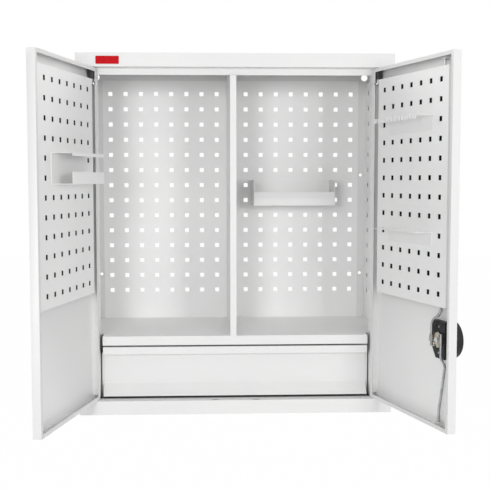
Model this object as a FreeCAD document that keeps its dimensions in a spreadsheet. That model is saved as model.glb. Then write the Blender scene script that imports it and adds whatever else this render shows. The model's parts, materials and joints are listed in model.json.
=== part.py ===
"""Wall cabinet of folded sheet steel: two perforated doors, a shelf, a divider, a tray and a drawer.

Frame: X to the right, Y into the wall, Z up, in millimetres. The origin is the middle of the four wall fixing
holes, on the wall plane. The carcass is drawn with Z from its underside and Y negative in front of the wall,
and its placement brings it down to the origin. A door is drawn closed, in its own frame on its hinge axis, and
its placement opens it to the angle at which the cabinet stands.
"""
import FreeCAD, Part
import math
import os
import Sketcher
from types import SimpleNamespace

SIZES = {
    # outside of the carcass, and its sheet
    "width": 700.0,
    "height": 800.0,
    "depth": 300.0,
    "sheet": 1.0,
    # folds of the carcass
    "rear_flange": 38.0,
    "ear": 31.0,
    "stile": 20.5,
    "top_rail": 30.0,
    "bottom_rail": 31.0,
    "rebate": 27.0,
    "jamb_width": 23.0,
    "jamb_return": 30.0,
    "stop_strip": 14.7,
    "panel_lap": 10.0,
    # square holes
    "hole": 10.0,
    "pitch": 38.0,
    "grid_top": 738.6,
    "grid_rows": 14,
    "back_columns": 8,
    "grid_gap": 73.2,
    "liner_columns": 6,
    "liner_first": 37.0,
    "liner_standoff": 8.4,
    "liner_top": 764.5,
    # wall fixings
    "fixing_across": 658.0,
    "fixing_rise": 250.0,
    "fixing_low": 285.6,
    "fixing_bore": 7.5,
    "key_across": 674.0,
    "key_height": 780.0,
    "key_bore": 16.0,
    "key_slot": 8.0,
    "key_rise": 11.0,
    # shelf and divider
    "shelf_height": 173.2,
    "shelf_front": 277.0,
    "shelf_lip": 20.7,
    "lip_gap": 7.0,
    "divider": 14.0,
    "divider_aside": 5.2,
    # tray that hangs on the back panel
    "tray_middle": 150.6,
    "tray_width": 198.0,
    "tray_reach": 100.0,
    "tray_rise": 64.0,
    "tray_cheek": 62.0,
    "tray_lip": 17.0,
    "tray_fold": 16.0,
    "tray_fold_back": 8.0,
    "tray_row": 6,
    "tray_column": 1,
    "tray_hook_step": 4,
    "tray_above_row": 14.4,
    # hooks that hold trays and holders in the square holes
    "hook_width": 8.0,
    "hook_sheet": 0.8,
    "hook_drop": 7.0,
    "hook_gap": 0.1,
    # drawer
    "drawer_gap": 7.5,
    "pull_top": 148.8,
    "pull_rise": 16.9,
    "pull_reach": 23.0,
    "front_low": 36.0,
    "slope_rise": 26.2,
    "slope_reach": 21.0,
    "front_turn": 12.0,
    "front_filler": 4.5,
    "box_low": 46.0,
    "box_rise": 80.0,
    "box_rear": 14.0,
    # telescopic drawer slides
    "slide_inset": 2.0,
    "slide_width": 12.7,
    "slide_height": 45.0,
    "slide_low": 62.0,
    "slide_rear": 12.0,
    "slide_length": 228.0,
    "slide_sheet": 1.2,
    "slide_gap": 0.3,
    "slide_reach": 10.0,
    # doors and their hinges
    "gap_low": 1.0,
    "gap_top": 1.5,
    "gap_middle": 0.75,
    "door_depth": 17.5,
    "door_lip": 8.0,
    "door_past": 8.2,
    "hinge_across": 629.6,
    "hinge_set": 10.0,
    "left_rest": 103.8,
    "right_rest": 106.5,
    "pin": 6.0,
    "pin_clearance": 0.05,
    "pin_above": 4.0,
    "low_pin_rise": 13.0,
    "low_pin_drop": 6.0,
    "bush": 10.0,
    "bush_rise": 5.0,
    "washer": 14.0,
    "block_length": 16.5,
    "block_rise": 23.0,
    "block_depth": 10.0,
    "strap_width": 10.0,
    "strap_sheet": 3.0,
    "strap_height": 732.5,
    "strap_leaf": 14.0,
    "strap_room": 1.5,
    # perforated door panels
    "panel_setback": 2.5,
    "panel_edge": 25.0,
    "panel_margin": 27.0,
    "left_free_margin": 36.0,
    "door_first": 40.0,
    "door_columns": 7,
    "door_rows": 12,
    "door_grid_top": 718.0,
    # holders on the doors
    "holder_width": 176.0,
    "holder_column": 1,
    "holder_hook_step": 4,
    "cradle_row": 4,
    "cradle_above": 12.0,
    "cradle_rise": 62.0,
    "cradle_reach": 45.0,
    "cradle_top_lip": 7.0,
    "cradle_low_lip": 24.0,
    "comb_row": 2,
    "comb_above": 10.0,
    "comb_rise": 32.0,
    "comb_reach": 40.0,
    "comb_lip": 9.0,
    "comb_pitch": 11.0,
    "comb_slot": 5.0,
    "comb_slot_length": 30.0,
    "comb_slots": 14,
    "rack_row": 8,
    "rack_above": 6.0,
    "rack_rise": 28.0,
    "rack_reach": 40.0,
    "rack_bore": 9.0,
    "rack_pitch": 20.0,
    "rack_bores": 8,
    # lock on the right door
    "lock_along": 270.0,
    "lock_height": 210.0,
    "case_rise": 74.0,
    "case_to_hinge": 24.0,
    "case_to_edge": 22.0,
    "case_depth": 12.0,
    "case_chamfer": 13.0,
    "case_chamfer_rise": 20.0,
    "case_screw": 5.0,
    "case_screw_spread": 52.0,
    "spindle": 14.0,
    "stud": 8.0,
    "knob": 76.0,
    "knob_edge": 19.0,
    "knob_dome": 9.0,
    "knob_gap": 0.3,
    "grip": 22.0,
    "scoop": 16.0,
    "scoop_rise": 40.0,
    "scoop_depth": 16.0,
    "barrel": 10.0,
    "socket": 4.0,
    "key_way": 1.4,
    "key_way_rise": 6.0,
    "key_way_depth": 3.0,
    "cam": 32.0,
    "cam_sheet": 2.5,
    "cam_arm": 11.3,
    "cam_pin": 5.0,
    "cam_pin_rise": 4.0,
    "cam_gap": 0.3,
    "tongue_width": 14.0,
    "tongue_reach": 32.0,
    "nut": 13.0,
    "nut_rise": 4.0,
    # lock rods
    "rod": 5.0,
    "rod_aside": 17.5,
    "rod_gap": 0.6,
    "rod_inset": 7.5,
    "rod_stop": 0.5,
    "rod_jog": 14.0,
    "low_rod_along": 267.0,
    "low_rod_straight": 33.0,
    "eye_sheet": 2.5,
    "eye_wall": 3.0,
    "eye_room": 0.8,
    "slot_length": 13.0,
    "slot_width": 8.0,
    "guide_length": 14.0,
    "guide_depth": 11.0,
    "guide_rise": 12.0,
}


class Size:
    """A number together with the sheet formula that gives it."""

    def __init__(self, value, formula):
        self.value = value
        self.formula = formula

    @staticmethod
    def of(item):
        return item if isinstance(item, Size) else Size(float(item), f"{float(item):.9g}")

    def join(self, sign, other, value):
        return Size(value, f"({self.formula} {sign} {other.formula})")

    def __add__(self, other):
        other = Size.of(other)
        return self.join("+", other, self.value + other.value)

    def __sub__(self, other):
        other = Size.of(other)
        return self.join("-", other, self.value - other.value)

    def __mul__(self, other):
        other = Size.of(other)
        return self.join("*", other, self.value * other.value)

    def __truediv__(self, other):
        other = Size.of(other)
        return self.join("/", other, self.value / other.value)

    def __radd__(self, other):
        return Size.of(other) + self

    def __rsub__(self, other):
        return Size.of(other) - self

    def __rmul__(self, other):
        return Size.of(other) * self

    def __neg__(self):
        return Size(-self.value, f"(-{self.formula})")


doc = FreeCAD.newDocument("wall_cabinet")
sheet = doc.addObject("Spreadsheet::Sheet", "sizes")
for row, (name, number) in enumerate(SIZES.items(), 1):
    sheet.set(f"A{row}", name)
    sheet.set(f"B{row}", f"{number}")
    sheet.setAlias(f"B{row}", name)
doc.recompute()
s = SimpleNamespace(**{name: Size(number, f"sizes.{name}") for name, number in SIZES.items()})
pieces = []

# places worked out from the sizes, on the carcass: half widths, heights and distances in front of the wall
half = s.width / 2
skin = half - s.sheet
opening = half - s.stile
jamb_edge = opening - s.jamb_width
drawer_edge = jamb_edge - s.slide_inset
ear_edge = half - s.ear
flange_edge = half - s.rear_flange
rail_high = s.height - s.top_rail
stop_front = s.depth - s.rebate
stop_rear = stop_front - s.sheet
jamb_rear = stop_front - s.jamb_return
strip_low = rail_high - s.stop_strip
back_face = s.sheet * 2
shelf_under = s.shelf_height - s.sheet
lip_end = jamb_edge - s.lip_gap
origin_height = s.fixing_low + s.fixing_rise / 2
hinge_half = s.hinge_across / 2
hinge_front = s.depth - s.hinge_set

# places on a door: along it from the hinge axis, and inward from that axis
door_low = s.bottom_rail + s.gap_low
door_high = rail_high - s.gap_top
door_free = hinge_half - s.gap_middle
door_inside = s.sheet - s.hinge_set
door_rim = s.door_depth - s.hinge_set
panel_face = door_rim - s.panel_setback
panel_rear = panel_face - s.sheet
panel_low = s.door_grid_top - s.pitch * (s.door_rows - 1) - s.panel_edge
panel_high = s.door_grid_top + s.panel_edge
last_column = s.door_first + s.pitch * (s.door_columns - 1)

# layers of the lock, inward from the hinge axis
rod_inward = door_inside + s.rod_inset
case_face = door_inside + s.case_depth
cam_rear = case_face + s.cam_gap
cam_face = cam_rear + s.cam_sheet
rod_rear = cam_face + s.rod_gap
rod_layer = rod_rear + s.rod / 2
knob_base = s.hinge_set + s.knob_gap
arm = s.cam_arm * math.sqrt(0.5)
eye_slot = s.cam_pin / 2 + s.eye_room
eye_edge = eye_slot + s.eye_wall


def bind(thing, path, size):
    """Ties one property of an object to a sheet formula."""
    thing.setExpression(path, Size.of(size).formula)


def box_corners(x0, x1, y0, y1):
    """The four corners of a rectangle between two places each way."""
    return [(x0, y0), (x1, y0), (x1, y1), (x0, y1)]


def folded(path, turn):
    """The outline of a sheet that follows a path, with its thickness on the right (1) or left (-1) of it."""
    points = [(Size.of(a), Size.of(b)) for a, b in path]
    normals = []
    for (a, b), (c, d) in zip(points, points[1:]):
        run, rise = c.value - a.value, d.value - b.value
        length = math.hypot(run, rise)
        normals.append((turn * rise / length, -turn * run / length))
    inner = []
    for i, (a, b) in enumerate(points):
        before = normals[max(i - 1, 0)]
        after = normals[min(i, len(normals) - 1)]
        share = 1 + before[0] * after[0] + before[1] * after[1]
        across = (before[0] + after[0]) / share
        along = (before[1] + after[1]) / share
        inner.append((a + s.sheet * across, b + s.sheet * along))
    return points + inner[::-1]


class Piece:
    """A body of the document, built from sketches on its own origin planes."""

    def __init__(self, label):
        self.body = doc.addObject("PartDesign::Body", label)
        self.body.Label = label
        pieces.append(self.body)

    def sketch(self, role, offset, x=0, y=0):
        plane = next(f for f in self.body.Origin.OriginFeatures if f.Role == role)
        drawing = self.body.newObject("Sketcher::SketchObject", "Sketch")
        drawing.AttachmentSupport = [(plane, "")]
        drawing.MapMode = "FlatFace"
        for axis, size in zip("xyz", (x, y, offset)):
            bind(drawing, f"AttachmentOffset.Base.{axis}", size)
        return drawing

    @staticmethod
    def place(drawing, index, end, x, y):
        """Fixes one point of a sketch by two dimensions from its origin."""
        for kind, size in (("DistanceX", x), ("DistanceY", y)):
            size = Size.of(size)
            number = drawing.addConstraint(Sketcher.Constraint(kind, -1, 1, index, end, size.value))
            bind(drawing, f"Constraints[{number}]", size)

    @classmethod
    def draw(cls, drawing, outline):
        """Adds one closed outline: corners, or a (centre x, centre y, radius) circle."""
        if isinstance(outline, tuple):
            x, y, radius = (Size.of(item) for item in outline)
            centre = FreeCAD.Vector(x.value, y.value, 0)
            index = drawing.addGeometry(Part.Circle(centre, FreeCAD.Vector(0, 0, 1), radius.value), False)
            cls.place(drawing, index, 3, x, y)
            number = drawing.addConstraint(Sketcher.Constraint("Radius", index, radius.value))
            bind(drawing, f"Constraints[{number}]", radius)
            return
        corners = [(Size.of(a), Size.of(b)) for a, b in outline]
        spots = [FreeCAD.Vector(a.value, b.value, 0) for a, b in corners]
        first = drawing.GeometryCount
        count = len(corners)
        for i in range(count):
            drawing.addGeometry(Part.LineSegment(spots[i], spots[(i + 1) % count]), False)
        for i in range(count):
            drawing.addConstraint(Sketcher.Constraint("Coincident", first + i, 2, first + (i + 1) % count, 1))
        for i, (x, y) in enumerate(corners):
            cls.place(drawing, first + i, 1, x, y)

    def solid(self, kind, role, outlines, start, end):
        drawing = self.sketch(role, start)
        for outline in outlines:
            self.draw(drawing, outline)
        feature = self.body.newObject(f"PartDesign::{kind}", kind)
        feature.Profile = drawing
        bind(feature, "Length", Size.of(end) - start)
        return feature

    def add(self, role, outlines, start, end):
        """Pads closed outlines on an origin plane, between two places along the plane's normal."""
        return self.solid("Pad", role, outlines, start, end)

    def cut(self, role, outlines, start, end):
        """Cuts closed outlines out between two places along the plane's normal."""
        feature = self.solid("Pocket", role, outlines, start, end)
        feature.Reversed = True
        return feature

    def repeat(self, feature, step_x, count_x, step_y=None, count_y=None):
        """Repeats a feature along the axes of its sketch."""
        drawing = feature.Profile[0]
        pattern = self.body.newObject("PartDesign::LinearPattern", "Pattern")
        pattern.Originals = [feature]
        pattern.Direction = (drawing, ["H_Axis"])
        pattern.Mode = "Spacing"
        pattern.Refine = False
        bind(pattern, "Offset", step_x)
        bind(pattern, "Occurrences", count_x)
        if count_y is not None:
            pattern.Direction2 = (drawing, ["V_Axis"])
            pattern.Mode2 = "Spacing"
            pattern.Spacings2 = [-1.0]
            bind(pattern, "Offset2", step_y)
            bind(pattern, "Occurrences2", count_y)
        self.body.Tip = pattern

    def perforate(self, role, x, low, start, end, columns, rows):
        """Cuts the grid of square holes whose lowest corner hole is centred on x and low."""
        reach = s.hole / 2
        corners = box_corners(x - reach, x + reach, low - reach, low + reach)
        self.repeat(self.cut(role, [corners], start, end), s.pitch, columns, s.pitch, rows)


def on_carcass(thing):
    """Brings what is drawn from the cabinet's underside down to the origin."""
    bind(thing, "Placement.Base.z", -origin_height)


def on_door(thing, hand):
    """Places what is drawn on a closed door (hand 1 left, -1 right), opened to its angle at rest."""
    angle = s.left_rest * -1 if hand > 0 else s.right_rest
    thing.Placement.Rotation = FreeCAD.Rotation(FreeCAD.Vector(0, 0, 1), angle.value)
    bind(thing, "Placement.Rotation.Angle", angle)
    bind(thing, "Placement.Base.x", hinge_half * -hand)
    bind(thing, "Placement.Base.y", -hinge_front)
    bind(thing, "Placement.Base.z", -origin_height)


def span(sign, low, high):
    """A stretch between two places, or its mirror image when the sign is negative."""
    return (Size.of(low), Size.of(high)) if sign > 0 else (-Size.of(high), -Size.of(low))


def mirrored(sign, corners):
    """Corners with their first coordinate mirrored when the sign is negative."""
    return [(Size.of(a) * sign, b) for a, b in corners]


def plan(corners):
    """Corners given as across and distance in front of the wall, for a sketch seen from above."""
    return [(a, -Size.of(b)) for a, b in corners]


def side_view(corners):
    """Corners given as distance in front of the wall and height, for a sketch seen from the side."""
    return [(-Size.of(a), b) for a, b in corners]


def both_sides(corners):
    """The same corners on the right and on the left."""
    return [mirrored(1, corners), mirrored(-1, corners)]


def polygon(x, y, radius, sides):
    """Corners of a regular outline round a centre."""
    turns = [2 * math.pi * step / sides for step in range(sides)]
    return [(x + radius * math.cos(turn), y + radius * math.sin(turn)) for turn in turns]


def cylinder(name, radius, rise, x, y, z):
    """An upright round bar, standing on its lower end's centre."""
    bar = doc.addObject("Part::Cylinder", name)
    bind(bar, "Radius", radius)
    bind(bar, "Height", rise)
    for axis, size in zip("xyz", (x, y, z)):
        bind(bar, f"Placement.Base.{axis}", size)
    return bar


def side_panel(name, side):
    """Side skin with its rear flange, front stile, rebate return and the holes for the wall."""
    piece = Piece(f"{name}_side_panel")
    path = [(flange_edge, 0), (half, 0), (half, s.depth), (ear_edge, s.depth)]
    piece.add("XY_Plane", [plan(mirrored(side, folded(path, -1)))], 0, s.height)
    stile = box_corners(ear_edge, opening, s.bottom_rail, rail_high)
    piece.cut("XZ_Plane", [mirrored(side, stile)], s.depth - s.sheet, s.depth)
    fold = box_corners(opening, opening + s.sheet, stop_rear, s.depth - s.sheet)
    piece.add("XY_Plane", [plan(mirrored(side, fold))], s.bottom_rail, rail_high)
    key_x = s.key_across / 2 * side
    piece.cut("XZ_Plane", [(key_x, s.key_height, s.key_bore / 2)], 0, s.sheet)
    slot = box_corners(key_x - s.key_slot / 2, key_x + s.key_slot / 2, s.key_height, s.key_height + s.key_rise)
    piece.cut("XZ_Plane", [slot], 0, s.sheet)
    fixing_x = s.fixing_across / 2 * side
    bores = [(fixing_x, height, s.fixing_bore / 2) for height in (s.fixing_low, s.fixing_low + s.fixing_rise)]
    piece.cut("XZ_Plane", bores, 0, s.sheet)
    on_carcass(piece.body)


def rail_panel(name, path, turn, skin_low, return_low):
    """Top or bottom sheet: rear flange, skin, front rail and the fold behind it, with its slots and holes."""
    piece = Piece(name)
    piece.add("YZ_Plane", [side_view(folded(path, turn))], -ear_edge, ear_edge)
    corner = box_corners(flange_edge, ear_edge, skin_low - s.rear_flange, skin_low + s.rear_flange)
    piece.cut("XZ_Plane", both_sides(corner), 0, s.sheet)
    wing = box_corners(ear_edge, skin, s.sheet, s.depth - s.sheet)
    piece.add("XY_Plane", [plan(c) for c in both_sides(wing)], skin_low, skin_low + s.sheet)
    ledge = box_corners(ear_edge, opening, stop_rear, s.depth - s.sheet)
    piece.add("XY_Plane", [plan(c) for c in both_sides(ledge)], return_low, return_low + s.sheet)
    across = (s.lock_along + s.low_rod_along) / 2
    slot_x = hinge_half - across
    slot_front = hinge_front - rod_inward
    slot = box_corners(
        slot_x - s.slot_length / 2,
        slot_x + s.slot_length / 2,
        slot_front - s.slot_width / 2,
        slot_front + s.slot_width / 2,
    )
    piece.cut("XY_Plane", [plan(c) for c in both_sides(slot)], return_low, return_low + s.sheet)
    pins = [(hinge_half * side, -hinge_front, s.pin / 2) for side in (1, -1)]
    piece.cut("XY_Plane", pins, return_low, return_low + s.sheet)
    on_carcass(piece.body)
    return piece


def top_panel():
    path = [
        (0, s.height - s.rear_flange),
        (0, s.height),
        (s.depth, s.height),
        (s.depth, rail_high),
        (stop_front, rail_high),
        (stop_front, strip_low),
    ]
    piece = rail_panel("top_panel", path, 1, s.height - s.sheet, rail_high)
    ends = box_corners(jamb_edge, ear_edge, strip_low, rail_high)
    piece.cut("XZ_Plane", both_sides(ends), stop_rear, stop_front)


def bottom_panel():
    path = [(0, s.rear_flange), (0, 0), (s.depth, 0), (s.depth, s.bottom_rail), (stop_rear, s.bottom_rail)]
    rail_panel("bottom_panel", path, -1, Size.of(0), s.bottom_rail - s.sheet)


def back_panel():
    """Perforated sheet in front of the rear flanges, with one field of holes for each compartment."""
    piece = Piece("back_panel")
    edge = flange_edge + s.panel_lap
    low = s.rear_flange - s.panel_lap
    piece.add("XZ_Plane", [box_corners(-edge, edge, low, s.height - low)], s.sheet, back_face)
    bottom_row = s.grid_top - s.pitch * (s.grid_rows - 1)
    for first in (s.grid_gap / 2, s.grid_gap / -2 - s.pitch * (s.back_columns - 1)):
        piece.perforate("XZ_Plane", first, bottom_row, s.sheet, back_face, s.back_columns, s.grid_rows)
    on_carcass(piece.body)


def side_liner(name, side):
    """Perforated pan on the inside of a side skin, standing on the shelf."""
    piece = Piece(f"{name}_side_liner")
    inner = skin - s.liner_standoff
    path = [(skin, s.sheet), (inner, s.sheet), (inner, stop_rear), (skin, stop_rear)]
    piece.add("XY_Plane", [plan(mirrored(side, folded(path, 1)))], s.shelf_height, s.liner_top)
    far = back_face + s.liner_first + s.pitch * (s.liner_columns - 1)
    bottom_row = s.grid_top - s.pitch * (s.grid_rows - 1)
    start, end = span(side, inner, inner + s.sheet)
    piece.perforate("YZ_Plane", -far, bottom_row, start, end, s.liner_columns, s.grid_rows)
    on_carcass(piece.body)


def jamb(name, side):
    """Angle that the door closes against, from the bottom rail to the top rail."""
    piece = Piece(f"{name}_jamb")
    path = [(opening, stop_front), (jamb_edge, stop_front), (jamb_edge, jamb_rear)]
    piece.add("XY_Plane", [plan(mirrored(side, folded(path, -1)))], s.bottom_rail, rail_high)
    on_carcass(piece.body)


def shelf():
    """Fixed shelf over the drawer, notched round the jambs, with a lip folded down at the front."""
    piece = Piece("shelf")
    right = [(skin, back_face), (skin, jamb_rear), (lip_end, jamb_rear), (lip_end, s.shelf_front)]
    piece.add("XY_Plane", [plan(right + mirrored(-1, right)[::-1])], shelf_under, s.shelf_height)
    lip = box_corners(-lip_end, lip_end, s.shelf_height - s.shelf_lip, s.shelf_height)
    piece.add("XZ_Plane", [lip], s.shelf_front - s.sheet, s.shelf_front)
    on_carcass(piece.body)


def centre_divider():
    """Upright channel between the compartments, a little left of the middle, stepped behind the stop strip."""
    piece = Piece("centre_divider")
    left, right = s.divider / -2 - s.divider_aside, s.divider / 2 - s.divider_aside
    path = [(left, back_face), (left, s.shelf_front), (right, s.shelf_front), (right, back_face)]
    piece.add("XY_Plane", [plan(folded(path, 1))], s.shelf_height, s.height - s.sheet)
    step = box_corners(stop_rear, s.shelf_front, strip_low, s.height - s.sheet)
    piece.cut("YZ_Plane", [side_view(step)], left, right)
    on_carcass(piece.body)


def drawer_wall(name, side):
    """Channel beside the drawer: it carries the shelf on top and the slide on its web."""
    piece = Piece(f"{name}_drawer_wall")
    path = [(skin, shelf_under), (drawer_edge, shelf_under), (drawer_edge, s.sheet), (skin, s.sheet)]
    piece.add("XZ_Plane", [mirrored(side, folded(path, -1))], back_face, jamb_rear)
    on_carcass(piece.body)


def tool_tray():
    """Open tray hung on the back panel of the right compartment."""
    piece = Piece("tool_tray")
    row = s.grid_top - s.pitch * s.tray_row
    top = row + s.tray_above_row
    low = top - s.tray_rise
    front = back_face + s.tray_reach
    left, right = s.tray_middle - s.tray_width / 2, s.tray_middle + s.tray_width / 2
    path = [
        (back_face, top),
        (back_face, low),
        (front, low),
        (front, low + s.tray_lip),
        (front - s.tray_fold_back, low + s.tray_lip + s.tray_fold),
    ]
    piece.add("YZ_Plane", [side_view(folded(path, -1))], left, right)
    cheek = box_corners(back_face + s.sheet, front - s.sheet, low + s.sheet, low + s.tray_cheek)
    piece.add("YZ_Plane", [side_view(cheek)], left, left + s.sheet)
    piece.add("YZ_Plane", [side_view(cheek)], right - s.sheet, right)
    hook_x = s.grid_gap / 2 + s.pitch * s.tray_column
    hook = hook_corners(back_face, -1, s.sheet, row)
    feature = piece.add("YZ_Plane", [side_view(hook)], hook_x - s.hook_width / 2, hook_x + s.hook_width / 2)
    repeat_hook(piece, feature, s.pitch * s.tray_hook_step)
    on_carcass(piece.body)


def hook_corners(face, inward, through, row):
    """A hook that enters a square hole, rests on the hole's lower edge and hangs behind the sheet."""
    seat = row - s.hole / 2
    rear = face + (through + s.hook_gap) * inward
    tip = rear + s.hook_sheet * inward
    return [
        (face, seat + s.hook_sheet),
        (tip, seat + s.hook_sheet),
        (tip, seat - s.hook_drop),
        (rear, seat - s.hook_drop),
        (rear, seat),
        (face, seat),
    ]


def repeat_hook(piece, feature, step):
    """A second hook further along the piece."""
    pattern = piece.body.newObject("PartDesign::LinearPattern", "Hooks")
    pattern.Originals = [feature]
    pattern.Direction = (feature.Profile[0], ["N_Axis"])
    pattern.Mode = "Spacing"
    bind(pattern, "Offset", step)
    pattern.Occurrences = 2
    piece.body.Tip = pattern


def channel(label, side, web, reach, low, rise):
    """A slide member: a web beside the drawer and two flanges, seen from the front."""
    piece = Piece(label)
    thick = s.slide_sheet
    away = 1 if reach.value > 0 else -1
    corners = [
        (web, low),
        (web + reach, low),
        (web + reach, low + thick),
        (web + thick * away, low + thick),
        (web + thick * away, low + rise - thick),
        (web + reach, low + rise - thick),
        (web + reach, low + rise),
        (web, low + rise),
    ]
    piece.add("XZ_Plane", [mirrored(side, corners)], s.slide_rear, s.slide_rear + s.slide_length)
    on_carcass(piece.body)


def drawer_slide(name, side):
    """Three nested channels: one on the wall, one between, one on the drawer."""
    nest = s.slide_sheet + s.slide_gap
    channel(f"{name}_slide_rail", side, drawer_edge, -s.slide_reach, s.slide_low, s.slide_height)
    middle = drawer_edge - nest
    inner_low, inner_rise = s.slide_low + nest, s.slide_height - nest * 2
    channel(f"{name}_slide_middle", side, middle, nest - s.slide_reach, inner_low, inner_rise)
    box_side = drawer_edge - s.slide_width
    reach = middle - nest - box_side
    channel(f"{name}_slide_runner", side, box_side, reach, inner_low + nest, inner_rise - nest * 2)


def drawer():
    """Folded drawer front with its pull along the top and a filler at each end, and the open box behind it."""
    face = s.shelf_front - s.pull_reach
    front = Piece("drawer_front")
    edge = jamb_edge - s.drawer_gap
    pull_low = s.pull_top - s.pull_rise
    path = [
        (face, s.pull_top),
        (s.shelf_front, s.pull_top),
        (s.shelf_front, pull_low),
        (face, pull_low),
        (face, s.front_low + s.slope_rise),
        (face + s.slope_reach, s.front_low),
        (face + s.slope_reach - s.front_turn, s.front_low),
    ]
    front.add("YZ_Plane", [side_view(folded(path, 1))], -edge, edge)
    box_front = face - s.sheet
    filler = box_corners(edge - s.front_filler, edge + s.front_filler, s.front_low, pull_low)
    front.add("XZ_Plane", both_sides(filler), box_front - s.sheet, box_front)
    on_carcass(front.body)
    box = Piece("drawer_box")
    wall = drawer_edge - s.slide_width
    outside = box_corners(-wall, wall, s.box_rear, box_front)
    inside = box_corners(s.sheet - wall, wall - s.sheet, s.box_rear + s.sheet, box_front - s.sheet)
    box.add("XY_Plane", [plan(outside)], s.box_low, s.box_low + s.box_rise)
    box.cut("XY_Plane", [plan(inside)], s.box_low + s.sheet, s.box_low + s.box_rise)
    on_carcass(box.body)


def hinge_pins():
    """Upright pins in the rails, which the doors turn on, and the straps that steady the upper ones."""
    rail_top = rail_high + s.sheet + s.pin_above
    rail_floor = s.bottom_rail - s.low_pin_drop
    stretches = {
        "upper_hinge_pins": (s.strap_height, rail_top - s.strap_height),
        "lower_hinge_pins": (rail_floor, s.low_pin_drop + s.low_pin_rise),
    }
    for label, (low, rise) in stretches.items():
        pair = doc.addObject("Part::Compound", label)
        pair.Label = label
        pair.Links = [
            cylinder(label[:-1], s.pin / 2, rise, hinge_half * side, -hinge_front, low) for side in (-1, 1)
        ]
        on_carcass(pair)
        pieces.append(pair)
    for name, side in (("left", -1), ("right", 1)):
        strap = Piece(f"{name}_hinge_strap")
        reach = s.strap_width / 2
        leaf = box_corners(hinge_half - reach, hinge_half + reach, stop_front, hinge_front + reach)
        top = s.strap_height + s.strap_sheet
        strap.add("XY_Plane", [plan(mirrored(side, leaf))], s.strap_height, top)
        foot = box_corners(hinge_half - reach, hinge_half + reach, top, top + s.strap_leaf)
        strap.add("XZ_Plane", [mirrored(side, foot)], stop_front, stop_front + s.strap_sheet / 2)
        strap.cut("XY_Plane", [(hinge_half * side, -hinge_front, s.pin / 2)], s.strap_height, top)
        on_carcass(strap.body)


def door_skin(name, hand):
    """Door pan with a lip round its rim, hinge holes, strap notch and, on the right, the lock's holes."""
    piece = Piece(f"{name}_door_skin")
    outside = box_corners(-s.door_past, door_free, door_low, door_high)
    inside = box_corners(s.sheet - s.door_past, door_free - s.sheet, door_low + s.sheet, door_high - s.sheet)
    lip = s.door_lip
    mouth = box_corners(lip - s.door_past, door_free - lip, door_low + lip, door_high - lip)
    piece.add("XZ_Plane", [mirrored(hand, outside)], -door_rim, s.hinge_set)
    piece.cut("XZ_Plane", [mirrored(hand, inside)], s.sheet - door_rim, -door_inside)
    piece.cut("XZ_Plane", [mirrored(hand, mouth)], -door_rim, s.sheet - door_rim)
    piece.cut("XY_Plane", [(0, 0, s.pin / 2 + s.strap_room)], door_high - s.sheet, door_high)
    piece.cut("XY_Plane", [(0, 0, s.bush / 2)], door_low, door_low + s.sheet)
    top = s.strap_height + s.strap_sheet + s.strap_room
    notch = box_corners(door_inside, door_rim, s.strap_height - s.strap_room, top)
    piece.cut("YZ_Plane", [notch], *span(hand, -s.door_past, lip - s.door_past))
    if name == "right":
        spot = (s.lock_along * hand, s.lock_height, s.spindle / 2 + s.knob_gap)
        piece.cut("XZ_Plane", [spot], -door_inside, s.hinge_set)
        for along, low in ((s.lock_along, door_high - s.sheet), (s.low_rod_along, door_low)):
            spot = (along * hand, rod_inward, s.rod / 2 + s.knob_gap)
            piece.cut("XY_Plane", [spot], low, low + s.sheet)
    on_door(piece.body, hand)


def door_panel(name, hand, free_margin):
    """Perforated pan on the inside of a door, with its sides folded back to the skin."""
    piece = Piece(f"{name}_door_panel")
    near, far = s.door_first - s.panel_margin, last_column + free_margin
    path = [(near, door_inside), (near, panel_face), (far, panel_face), (far, door_inside)]
    piece.add("XY_Plane", [mirrored(hand, folded(path, 1))], panel_low, panel_high)
    first = s.door_first if hand > 0 else -last_column
    low = panel_low + s.panel_edge
    piece.perforate("XZ_Plane", first, low, -panel_face, -panel_rear, s.door_columns, s.door_rows)
    on_door(piece.body, hand)


def hinge_block(name, hand):
    """Moulded block in a door's upper hinge corner, bored for the pin."""
    piece = Piece(f"{name}_hinge_block")
    near = s.sheet - s.door_past
    top = door_high - s.sheet
    low = top - s.block_rise
    reach = s.block_depth / 2
    outline = box_corners(near, near + s.block_length, -reach, reach)
    piece.add("XY_Plane", [mirrored(hand, outline)], low, top)
    piece.cut("XY_Plane", [(0, 0, s.pin / 2 + s.pin_clearance)], low, top)
    on_door(piece.body, hand)


def lower_bush(name, hand):
    """Flanged bush in a door's lower hinge corner, which carries the door on the bottom rail."""
    piece = Piece(f"{name}_lower_bush")
    piece.add("XY_Plane", [(0, 0, s.washer / 2)], s.bottom_rail, door_low)
    piece.add("XY_Plane", [(0, 0, s.bush / 2)], door_low, door_low + s.bush_rise)
    piece.cut("XY_Plane", [(0, 0, s.pin / 2 + s.pin_clearance)], s.bottom_rail, door_low + s.bush_rise)
    on_door(piece.body, hand)


def holder(label, hand, path, turn, row):
    """A folded holder across five columns of a door panel, with two hooks in a row of its holes."""
    piece = Piece(label)
    hook_x = last_column - s.pitch * (s.holder_column + s.holder_hook_step)
    middle = hook_x + s.pitch * s.holder_hook_step / 2
    reach = s.holder_width / 2
    piece.add("YZ_Plane", [folded(path, turn)], *span(hand, middle - reach, middle + reach))
    hook = hook_corners(panel_face, -1, s.sheet, row)
    step = s.pitch * s.holder_hook_step
    first, _ = span(hand, hook_x, hook_x + step)
    feature = piece.add("YZ_Plane", [hook], first - s.hook_width / 2, first + s.hook_width / 2)
    repeat_hook(piece, feature, step)
    on_door(piece.body, hand)
    return piece, middle


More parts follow.
